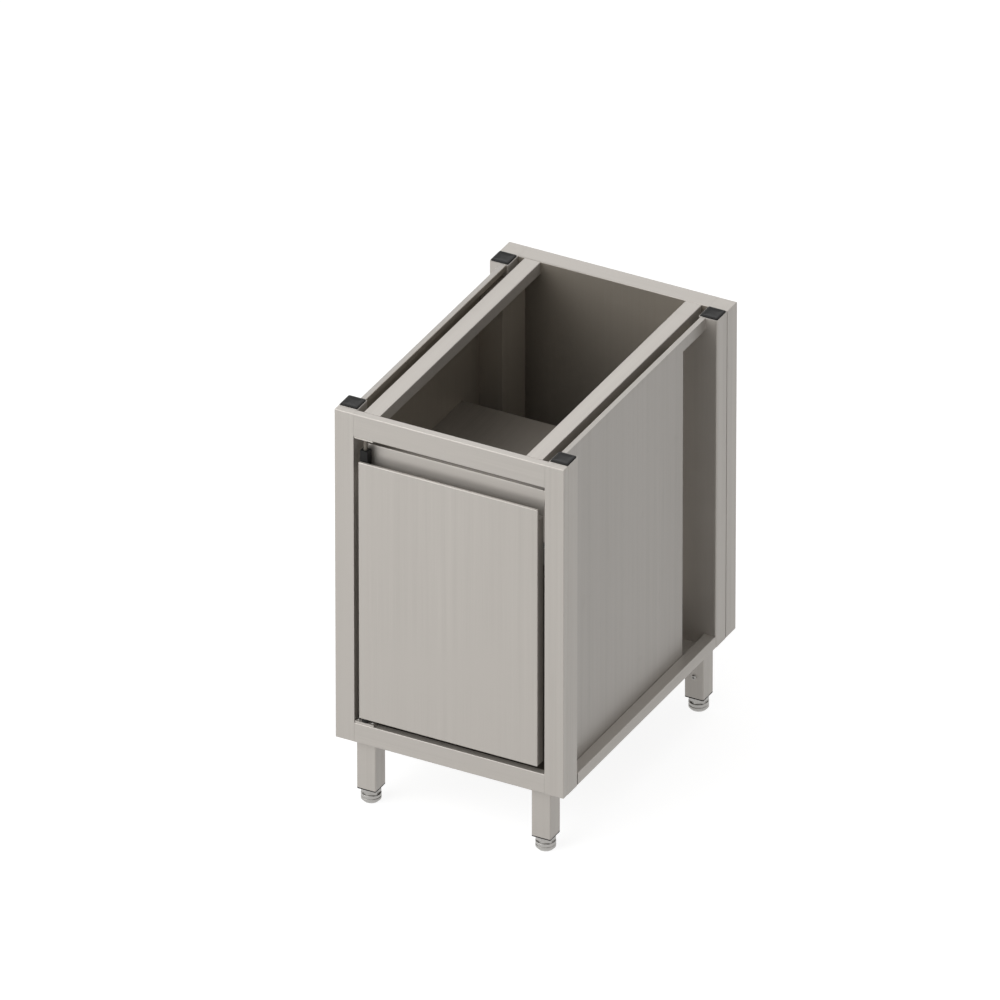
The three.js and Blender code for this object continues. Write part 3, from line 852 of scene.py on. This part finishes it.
@dataclass
class Posts(Tubes):
    """Square corner tubes with moulded plugs."""

    plug_corner: float = 2 * MM
    plug_lead: float = 1.5 * MM
    plug_play: float = 0.2 * MM
    ribs: int = 3
    rib_pitch: float = 5 * MM
    rib_height: float = 1 * MM
    rib_depth: float = 0.6 * MM
    top_edge: float = 2 * MM
    edge_faces: int = 4
    rim: float = 5 * MM
    dish: float = 0.5 * MM
    dish_middle: float = 3 * MM

    def build(self) -> None:
        """Builds a tube and a plug for each corner."""
        for corner in CORNERS:
            self.tube(f"{corner}_post")
            self._plug(f"{corner}_post_plug")

    def _plug(self, node: str) -> None:
        """Builds a ribbed plug with a softly edged, dished head.

        Args:
            node: CAD node to stand for.
        """
        low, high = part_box(node)
        half = (high.x - low.x) / 2
        edge = self.top_edge
        outline = [(self.plug_lead, low.z), (self.plug_play, low.z + 2 * self.plug_lead)]
        for rib in range(self.ribs):
            start = low.z + (rib + 1) * self.rib_pitch
            outline.append((self.rib_depth, start))
            outline.append((0.0, start + self.rib_height))
            outline.append((self.rib_depth, start + 2 * self.rib_height))
        for step in range(self.edge_faces + 1):
            angle = step * math.pi / 2 / self.edge_faces
            outline.append((edge * (1 - math.cos(angle)), high.z - edge * (1 - math.sin(angle))))
        outline.append((self.rim, high.z))
        outline.append((self.rim + 2 * self.dish, high.z - self.dish))
        outline.append((half - self.dish_middle, high.z - self.dish))
        rings = [rounded_square(half - inset, self.plug_corner, height) for inset, height in outline]
        shape = crease(moved(skin(rings), axis_of(low, high)))
        self.shop.file(node, "moulded", shape, Slot.NYLON, "black_moulded")


@dataclass
class Sides(Assembly):
    """Side panels with their channels, bottom rails, pan rails and shelf brackets.

    A channel's front wall lies before channel_front. Its walls lie within channel_side of the middle, and
    its end plates within channel_end.
    """

    channel_front: float = 200 * MM
    channel_side: float = 212 * MM
    channel_end: float = 200 * MM

    def build(self) -> None:
        """Dresses both sides."""
        finishes = ("satin_panel", "inner_mill", "satin_upright")
        for side, sign in SIDES.items():
            self.dress(f"{side}_side_panel", Slot.SATIN, *finishes, pick=partial(self._panel_finish, sign))
            self.dress(f"{side}_bottom_rail", Slot.SATIN, "satin_lengthwise")
            self.dress(f"{side}_pan_rail", Slot.SATIN, "satin_lengthwise")
            self.dress(f"{side}_shelf_bracket", Slot.INNER, "inner_mill")

    def _panel_finish(self, sign: int, face: Face) -> int:
        """Picks the finish of a side panel's face.

        Args:
            sign: Side of the panel, -1 on the left and 1 on the right.
            face: Face of the panel.

        Returns:
            0 outside (painted shade), 1 inside and on the channel's ends, 2 in the channel (painted light).
        """
        place = face.calc_center_median()
        reach = place.x * sign
        before_channel = face.normal.y < -FACING and 0.0 < place.y < self.channel_front
        on_end = face.normal.z > FACING and reach < self.channel_end
        if face.normal.x * sign < -FACING or before_channel or on_end:
            return 1
        # Painted light: the channel's faces take the lighter satin tones instead of the panel's painted
        # shade, lifting the shade in the channel
        return 2 if reach < self.channel_side else 0


@dataclass
class Inside(Assembly):
    """Cabinet floor and half-depth shelf."""

    def build(self) -> None:
        """Dresses both sheets."""
        for node in ("base_panel", "inner_shelf"):
            self.dress(node, Slot.INNER, "inner_shelf")


@dataclass
class Legs(Tubes):
    """Leg plates, square legs, threaded inserts, lock screws and levelling feet."""

    collar_top: float = 29.7 * MM
    collar_bevel: float = 0.9 * MM
    collar_inset: float = 0.5 * MM
    collar_flats: int = 6
    stem_radius: float = 5 * MM
    stem_ease: float = 1.2 * MM
    thread_pitch: float = 1.5 * MM
    thread_depth: float = 0.45 * MM
    screw_head: float = 2.8 * MM
    points: int = 48

    def build(self) -> None:
        """Builds the four corners."""
        for corner in CORNERS:
            self.dress(f"{corner}_leg_plate", Slot.SATIN, "satin_across")
            self.tube(f"{corner}_leg")
            self._insert(f"{corner}_leg_insert")
            self._foot(f"{corner}_foot")
            self._lock_screw(f"{corner}_leg_screw")

    def _insert(self, node: str) -> None:
        """Builds a moulded insert whose flange follows the rounded corners of the leg tube.

        Args:
            node: CAD node to stand for.
        """
        shape = self.shop.copy_of(node)
        runs = {edge: edge.verts[1].co - edge.verts[0].co for edge in outside_edges(shape)}
        upright = [edge for edge, run in runs.items() if abs(run.z) > CLOSELY * run.length]
        round_edges(shape, upright, self.radius, BEND_FACES, False)
        soften(shape, self.edge_break, self.edge_break)
        self.shop.file(node, "moulded", shape, Slot.NYLON, "black_moulded")

    def _foot(self, node: str) -> None:
        """Builds a turned foot with a spanner collar, a grooved skirt and a threaded stem.

        Args:
            node: CAD node to stand for.
        """
        low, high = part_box(node)
        radius = (high.x - low.x) / 2
        # Insets from the skirt's radius and heights above the toe, in millimetres
        toe = [(5.2, 0.0), (4.4, 0.3), (0.7, 4.4), (0.0, 5.2)]
        groove = [(0.0, 9.6), (0.5, 10.0), (1.2, 10.4), (1.2, 11.2), (0.5, 11.6), (0.0, 12.0)]
        shoulder = [(0.0, 17.0), (0.5, 17.5)]
        outline = [(radius - inset * MM, low.z + rise * MM) for inset, rise in toe + groove + shoulder]
        rings = [circle(reach, height, self.points) for reach, height in outline]
        collar = (radius - self.collar_inset) * math.cos(math.pi / self.collar_flats)
        # The same from the collar's flats
        flats = [(0.4, 17.9), (0.0, 18.4), (0.0, 28.7)]
        outline = [(collar - inset * MM, low.z + rise * MM) for inset, rise in flats]
        rings += [circle(reach, height, self.points, self.collar_flats) for reach, height in outline]
        top = low.z + self.collar_top
        root = self.stem_radius - self.thread_depth
        reaches = (collar - self.collar_bevel, self.stem_radius + self.stem_ease, root)
        outline = [(reach, top) for reach in reaches]
        for turn in range(int((high.z - top) / self.thread_pitch) - 1):
            crest = top + (turn + 0.5) * self.thread_pitch
            outline += [(self.stem_radius, crest), (root, crest + self.thread_pitch / 2)]
        outline.append((self.stem_radius - self.stem_ease, high.z))
        rings += [circle(reach, height, self.points) for reach, height in outline]
        shape = crease(moved(skin(rings), axis_of(low, high)))
        self.shop.file(node, "turned", shape, Slot.BRIGHT, "bright_turned")

    def _lock_screw(self, node: str) -> None:
        """Builds a button-head screw with a hexagon socket, facing the middle of the cabinet.

        Args:
            node: CAD node to stand for.
        """
        low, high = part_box(node)
        middle = (low + high) / 2
        inward = 1.0 if middle.y < 0 else -1.0
        shape = socket_screw((high.x - low.x) / 2, self.screw_head, high.y - low.y - self.screw_head)
        turn = Matrix.Rotation(-inward * math.pi / 2, 3, "X")
        bmesh.ops.rotate(shape, cent=(0, 0, 0), matrix=turn, verts=shape.verts)
        face = low.y if inward < 0 else high.y
        moved(shape, Vector((middle.x, face - inward * self.screw_head, middle.z)))
        self.shop.file(node, "head", crease(shape), Slot.BRIGHT, "bright_turned")


@dataclass
class Door(Assembly):
    """Hinged door with its folded finger pull, back skin and bearings."""

    lip: float = 5 * MM
    groove_floor: float = 727 * MM
    bearing_edge: float = 1.0 * MM

    def build(self) -> None:
        """Dresses the door's pieces."""
        skin_node = "door_front_skin"
        finishes = ("satin_upright", "satin_groove", "inner_shelf")
        pick = partial(self._front_finish, *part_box(skin_node))
        self.dress(skin_node, Slot.SATIN, *finishes, ending="folded", pick=pick)
        self.dress("door_back_skin", Slot.INNER, "satin_upright")
        for node in ("door_pivot_block", "door_lower_bush"):
            self.dress(node, Slot.NYLON, "black_moulded", bend=self.bearing_edge, ending="moulded")
        self.dress("door_strike_plate", Slot.BRIGHT, "bright_turned")

    def _front_finish(self, low: Vector, high: Vector, face: Face) -> int:
        """Picks the finish of a front skin's face.

        Args:
            low: Lowest corner of the skin's box.
            high: Highest corner of the skin's box.
            face: Face of the skin.

        Returns:
            0 in front, 1 in the finger groove and 2 on the top return under the rail, both with painted
            shade.
        """
        place = face.calc_center_median()
        # Painted shade: the top return takes the dark shelf tones, standing in for the shadow under the rail
        if face.normal.z > CLOSELY and place.z > high.z - self.lip:
            return 2
        # Painted shade: the groove's faces take the groove finish, which darkens towards the groove's floor
        behind_lip = place.y > low.y + self.lip and place.z > self.groove_floor
        return int(behind_lip and (face.normal.y < -SLIGHTLY or face.normal.z > FACING))


@dataclass
class Hinge(Assembly):
    """Hinge plates, pins, spacer and magnet catch."""

    pin_edge: float = 0.6 * MM
    moulded_edge: float = 0.8 * MM

    def build(self) -> None:
        """Dresses the plates, turned pins and mouldings."""
        for level in ("lower", "upper"):
            self.dress(f"{level}_hinge_plate", Slot.SATIN, "satin_across")
            pin = f"{level}_hinge_pin"
            self.dress(pin, Slot.BRIGHT, "inner_shelf", bend=self.pin_edge, ending="turned")
        for node in ("lower_hinge_spacer", "magnet_catch"):
            self.dress(node, Slot.NYLON, "black_moulded", bend=self.moulded_edge, ending="moulded")


@dataclass
class Fixings(Assembly):
    """Screws, rivets and weld beads, laid out by geometry nodes along the CAD nodes' boxes.

    The rise and the shank of a screw are shares of its radius, and so is the shape of a weld's ripple.
    """

    screw_radius: float = 3.2 * MM
    screw_rise: float = 0.6
    screw_shank: float = 0.3
    leg_margin: float = 6 * MM
    hinge_margin: float = 5 * MM
    catch_screw_offset: float = 10 * MM
    catch_screw_forward: float = 2 * MM
    rivet_radius: float = 3.0 * MM
    rivet_pitch: float = 105 * MM
    end_margin: float = 15 * MM
    edge_margin: float = 12 * MM
    low_margin: float = 8 * MM
    catch_clearance: float = 8 * MM
    bracket_sheet: float = 1.2 * MM
    weld_corner: float = 2.5 * MM
    weld_outside: float = 0.5 * MM
    weld_below: float = 0.6 * MM
    ripple_radius: float = 1.9 * MM
    ripple_spacing: float = 1.3 * MM
    ripple_shape: tuple = (0.7, 1.0, 0.9)
    ripple_detail: int = 2

    def build(self) -> None:
        """Lays screws, rivets and welds on the cabinet, and rivets on the door."""
        finish = self.shop.finishes["bright_turned"]
        cabinet = self.shop.body_of("front_top_rail")
        door = self.shop.body_of("door_back_skin")
        screw = self._head("screw_head", socket_screw(1.0, self.screw_rise, self.screw_shank))
        rivet = self._head("rivet_head", self._dome())
        pattern = self._pattern_tree()
        rows = (
            ("cabinet_screws", self._screw_seats(), cabinet, screw, self.screw_radius),
            ("door_rivets", self._door_seats(), door, rivet, self.rivet_radius),
            ("bracket_rivets", self._bracket_seats(), cabinet, rivet, self.rivet_radius),
        )
        for name, seats, body, head, scale in rows:
            values = {"Head": head, "Scale": scale, "Finish": finish}
            self._lay(self._points(name, seats), body, pattern, values)
        values = {"Spacing": self.ripple_spacing, "Radius": self.ripple_radius, "Finish": finish}
        self._lay(self._loops("leg_welds"), cabinet, self._bead_tree(), values)
        for used in (screw, rivet):
            bpy.data.objects.remove(used)

    def _spaced(self, low: float, high: float) -> list[float]:
        """Spaces a row of rivets evenly along a sheet.

        Args:
            low: Start of the sheet.
            high: End of the sheet.

        Returns:
            Places of the rivets.
        """
        count = int((high - low) / self.rivet_pitch)
        step = (high - low - 2 * self.end_margin) / count
        return [low + self.end_margin + index * step for index in range(count + 1)]

    def _screw_seats(self) -> Seats:
        """Seats four screws under each leg plate, two on each hinge plate and two on the magnet catch.

        Returns:
            Places and directions of the screws.
        """
        seats = []
        for corner in CORNERS:
            leg_low, leg_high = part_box(f"{corner}_leg")
            low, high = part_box(f"{corner}_leg_plate")
            across = (leg_low.x + self.leg_margin, leg_high.x - self.leg_margin)
            along = ((low.y + leg_low.y) / 2, (high.y + leg_high.y) / 2)
            seats += seats_at(across, along, [low.z], (0, 0, -1))
        for level, sign in (("lower", 1), ("upper", -1)):
            low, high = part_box(f"{level}_hinge_plate")
            across = (low.x + self.hinge_margin, high.x - self.hinge_margin)
            face = high.z if sign > 0 else low.z
            seats += seats_at(across, [(low.y + high.y) / 2], [face], (0, 0, sign))
        low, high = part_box("magnet_catch")
        middle = (low + high) / 2
        upward = (middle.z - self.catch_screw_offset, middle.z + self.catch_screw_offset)
        return seats + seats_at([low.x], [middle.y - self.catch_screw_forward], upward, (-1, 0, 0))

    def _door_seats(self) -> Seats:
        """Seats rivets down both edges of the door's back skin, clear of the catch.

        Returns:
            Places and directions of the rivets.
        """
        low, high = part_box("door_back_skin")
        catch_low, catch_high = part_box("magnet_catch")
        bottom = catch_low.z - self.catch_clearance
        top = catch_high.z + self.catch_clearance
        across = (low.x + self.edge_margin, high.x - self.edge_margin)
        upward = [height for height in self._spaced(low.z, high.z) if not bottom < height < top]
        return seats_at(across, [high.y], upward, (0, 1, 0))

    def _bracket_seats(self) -> Seats:
        """Seats the rivets that hold the shelf brackets to the side panels.

        Returns:
            Places and directions of the rivets.
        """
        seats = []
        for side, sign in SIDES.items():
            low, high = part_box(f"{side}_shelf_bracket")
            face = high.x - self.bracket_sheet if sign > 0 else low.x + self.bracket_sheet
            seats += seats_at([face], self._spaced(low.y, high.y), [low.z + self.low_margin], (-sign, 0, 0))
        return seats

    def _loops(self, name: str) -> bpy.types.Mesh:
        """Makes a closed path round the top of each leg, under its plate.

        Args:
            name: Name of the mesh.

        Returns:
            Mesh of the paths.
        """
        points = []
        edges = []
        for corner in CORNERS:
            low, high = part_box(f"{corner}_leg")
            half = (high.x - low.x) / 2 + self.weld_outside
            ring = rounded_square(half, self.weld_corner, high.z - self.weld_below)
            first = len(points)
            points += [point + axis_of(low, high) for point in ring]
            edges += [(first + step, first + (step + 1) % len(ring)) for step in range(len(ring))]
        mesh = bpy.data.meshes.new(name)
        mesh.from_pydata(points, edges, [])
        return mesh

    def _points(self, name: str, seats: Seats) -> bpy.types.Mesh:
        """Makes loose points, each with the direction that its fastener faces.

        Args:
            name: Name of the mesh.
            seats: Places and directions.

        Returns:
            Mesh of the points.
        """
        mesh = bpy.data.meshes.new(name)
        mesh.from_pydata([place for place, _ in seats], [], [])
        facing = mesh.attributes.new("facing", "FLOAT_VECTOR", "POINT")
        facing.data.foreach_set("vector", [value for _, way in seats for value in way])
        return mesh

    def _dome(self) -> Shape:
        """Makes a blind rivet's head of unit radius.

        Returns:
            Head with the hollow that its pulled stem leaves.
        """
        brim = ((1.0, -0.1), (1.0, 0.06), (0.92, 0.2), (0.74, 0.34), (0.5, 0.42))
        hollow = ((0.36, 0.44), (0.3, 0.4), (0.28, 0.1))
        return skin([circle(reach, rise, RIVET_POINTS) for reach, rise in brim + hollow])

    def _head(self, name: str, shape: Shape) -> bpy.types.Object:
        """Object that a pattern repeats."""
        return link(bpy.data.objects.new(name, mesh_of(crease(shape), name)))

    def _lay(self, mesh: bpy.types.Mesh, body: str, tree: Tree, values: dict) -> None:
        """Runs a pattern over points or paths and files the result as a plain mesh.

        Args:
            mesh: Points or paths.
            body: Body that the result rides on.
            tree: Geometry node tree.
            values: Inputs of the tree by name.
        """
        host = link(bpy.data.objects.new(f"{mesh.name}_layout", mesh))
        modifier = host.modifiers.new("pattern", "NODES")
        modifier.node_group = tree
        for item in tree.interface.items_tree:
            if item.in_out == "INPUT" and item.name in values:
                modifier[item.identifier] = values[item.name]
        graph = bpy.context.evaluated_depsgraph_get()
        made = bpy.data.meshes.new_from_object(host.evaluated_get(graph), depsgraph=graph)
        host.modifiers.remove(modifier)
        bpy.data.objects.remove(host)
        self.shop.place(bpy.data.objects.new(f"{mesh.name}_laid", made), body, Slot.BRIGHT)

    def _tree(self, name: str, sizes: dict) -> Tree:
        """Geometry node group that takes geometry, its own sizes and a finish."""
        inputs = {"Geometry": "Geometry", **sizes, "Finish": "Material"}
        return new_group(name, inputs, {"Geometry": "Geometry"}, "GeometryNodeTree")

    def _pattern_tree(self) -> Tree:
        """Sets a head on each point, facing along the point's own direction.

        Returns:
            The tree.
        """
        tree = self._tree("fastener_pattern", {"Head": "Object", "Scale": "Float"})
        start = tree.nodes["in"].outputs
        head = add_node(tree, "GeometryNodeObjectInfo", {"Object": start["Head"]})
        named = {"Name": "facing"}
        facing = add_node(tree, "GeometryNodeInputNamedAttribute", named, data_type="FLOAT_VECTOR")
        heads = {
            "Points": start["Geometry"],
            "Instance": head.outputs["Geometry"],
            "Rotation": self._turn(tree, facing.outputs["Attribute"], "Z"),
            "Scale": start["Scale"],
        }
        self._end(tree, heads)
        return tree

    def _bead_tree(self) -> Tree:
        """Lays overlapping ripples along a path.

        Returns:
            The tree.
        """
        tree = self._tree("weld_bead", {"Spacing": "Float", "Radius": "Float"})
        start = tree.nodes["in"].outputs
        run = add_node(tree, "GeometryNodeMeshToCurve", {"Mesh": start["Geometry"]})
        spacing = {"Curve": run.outputs[0], "Length": start["Spacing"]}
        steps = add_node(tree, "GeometryNodeResampleCurve", spacing, mode="LENGTH")
        along = add_node(tree, "GeometryNodeInputTangent")
        ball = {"Radius": start["Radius"], "Subdivisions": self.ripple_detail}
        ripple = add_node(tree, "GeometryNodeMeshIcoSphere", ball)
        smooth = add_node(tree, "GeometryNodeSetShadeSmooth", {0: ripple.outputs[0]})
        ripples = {
            "Points": steps.outputs[0],
            "Instance": smooth.outputs[0],
            "Rotation": self._turn(tree, along.outputs[0], "X"),
            "Scale": self.ripple_shape,
        }
        self._end(tree, ripples)
        return tree

    def _turn(self, tree: Tree, way: Socket, axis: str) -> Socket:
        """Rotation that brings an axis into a direction."""
        return add_node(tree, "FunctionNodeAlignRotationToVector", {"Vector": way}, axis=axis).outputs[0]

    def _end(self, tree: Tree, instances: dict) -> None:
        """Sets instances on points and turns them into real geometry with a material.

        Args:
            tree: Tree to end.
            instances: Inputs of the node that sets them.
        """
        rough = add_node(tree, "GeometryNodeInstanceOnPoints", instances).outputs[0]
        real = add_node(tree, "GeometryNodeRealizeInstances", {"Geometry": rough}).outputs[0]
        dressed = {"Geometry": real, "Material": tree.nodes["in"].outputs["Finish"]}
        done = add_node(tree, "GeometryNodeSetMaterial", dressed).outputs[0]
        fill(tree, tree.nodes["out"], {0: done})


@dataclass
class Studio:
    """Camera, lamps, world and floor.

    The camera's azimuth runs from the front to the right. Angles are in degrees, and the lens and its sensor
    are in millimetres. A lamp has a name, a place, a width and a power in watts. The grey floor lights the
    cabinet, and the seen floor glows white.
    """

    azimuth: float = 27.8
    elevation: float = 30.8
    distance: float = 52.0
    lens: float = 1000.0
    sensor: float = 36.0
    far_clip: float = 200.0
    camera_aim: tuple = (-0.1692, 0.1783, 0.3972)
    lamp_aim: tuple = (0.0, 0.0, 0.45)
    lamps: tuple = (
        ("key_lamp", (-2.2, -3.2, 2.9), 4.0, 140.0),
        ("top_lamp", (0.1, 0.2, 3.6), 2.4, 22.0),
        ("rim_lamp", (-1.5, 2.7, 3.1), 2.0, 7.0),
    )
    sky_colour: tuple = (1.0, 0.99, 0.97, 1.0)
    sky_strength: float = 0.3
    floor_size: float = 24.0
    floor_parts: int = 4
    floor_grey: tuple = (0.6, 0.6, 0.59, 1.0)
    floor_shadow: tuple = (0.3, 0.3, 0.3, 1.0)
    floor_glow: float = 0.88

    def build(self) -> None:
        """Makes the whole set."""
        bpy.context.scene.view_settings.view_transform = "Standard"
        self._camera()
        self._lamps()
        self._world()
        self._floor()

    def _camera(self) -> None:
        """Long lens that sees the cabinet almost in parallel."""
        turn = math.radians(self.azimuth)
        rise = math.radians(self.elevation)
        back = Vector((math.sin(turn) * math.cos(rise), -math.cos(turn) * math.cos(rise), math.sin(rise)))
        data = bpy.data.cameras.new("camera")
        data.lens = self.lens
        data.sensor_width = self.sensor
        data.clip_end = self.far_clip
        camera = link(bpy.data.objects.new("camera", data))
        camera.location = Vector(self.camera_aim) + back * self.distance
        camera.rotation_euler = (-back).to_track_quat("-Z", "Y").to_euler()
        bpy.context.scene.camera = camera

    def _lamps(self) -> None:
        """Large key from the front left, a softer lamp overhead, and one behind that lights the rims."""
        for name, place, width, power in self.lamps:
            data = bpy.data.lights.new(name, "AREA")
            data.size = width
            data.energy = power
            lamp = link(bpy.data.objects.new(name, data))
            lamp.location = place
            way = Vector(self.lamp_aim) - Vector(place)
            lamp.rotation_euler = way.to_track_quat("-Z", "Y").to_euler()

    def _mix_by_rays(self, tree: Tree, felt: Socket, seen: Socket, surface: Socket) -> None:
        """Shows one shader to camera, glossy and transmission rays and another to the rest.

        Args:
            tree: Tree of a world or a material.
            felt: Shader that lights the cabinet.
            seen: Shader that is seen.
            surface: Input that takes the mix.
        """
        path = tree.nodes.new("ShaderNodeLightPath").outputs
        share = path["Is Camera Ray"]
        for kind in ("Is Glossy Ray", "Is Transmission Ray"):
            both = {0: share, 1: path[kind]}
            share = add_node(tree, "ShaderNodeMath", both, operation="MAXIMUM").outputs[0]
        mixed = add_node(tree, "ShaderNodeMixShader", {0: share, 1: felt, 2: seen})
        tree.links.new(mixed.outputs[0], surface)

    def _world(self) -> None:
        """Soft even light, seen as white."""
        world = bpy.data.worlds.new("studio")
        world.use_nodes = True
        bpy.context.scene.world = world
        tree = world.node_tree
        soft = tree.nodes["Background"]
        fill(tree, soft, {"Color": self.sky_colour, "Strength": self.sky_strength})
        white = add_node(tree, "ShaderNodeBackground", {"Color": WHITE, "Strength": 1.0})
        surface = tree.nodes["World Output"].inputs["Surface"]
        self._mix_by_rays(tree, soft.outputs[0], white.outputs[0], surface)

    def _floor(self) -> None:
        """Pale floor: lit as white, with the cabinet's soft shadow kept."""
        shape = bmesh.new()
        parts = self.floor_parts
        bmesh.ops.create_grid(shape, x_segments=parts, y_segments=parts, size=self.floor_size / 2)
        floor = link(bpy.data.objects.new("floor", mesh_of(shape, "floor")))
        made = bpy.data.materials.new("pale_floor")
        made.use_nodes = True
        tree = made.node_tree
        tree.nodes.remove(tree.nodes["Principled BSDF"])
        plain = add_node(tree, "ShaderNodeBsdfDiffuse", {"Color": self.floor_grey})
        shaded = add_node(tree, "ShaderNodeBsdfDiffuse", {"Color": self.floor_shadow})
        glow = add_node(tree, "ShaderNodeEmission", {"Color": WHITE, "Strength": self.floor_glow})
        white = add_node(tree, "ShaderNodeAddShader", {0: shaded.outputs[0], 1: glow.outputs[0]})
        surface = tree.nodes["Material Output"].inputs["Surface"]
        self._mix_by_rays(tree, plain.outputs[0], white.outputs[0], surface)
        floor.data.materials.append(made)


def main() -> None:
    """Builds the cabinet's looks in order."""
    logging.basicConfig(level=logging.INFO, format="%(message)s")
    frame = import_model()
    Studio().build()
    shop = Workshop(frame)
    for assembly in (FrontFrame, Posts, RearFrame, Sides, Inside, Legs, Door, Hinge, Fixings):
        assembly(shop).build()
        LOG.info("%s done", assembly.__name__)


if __name__ == "__main__":
    main()
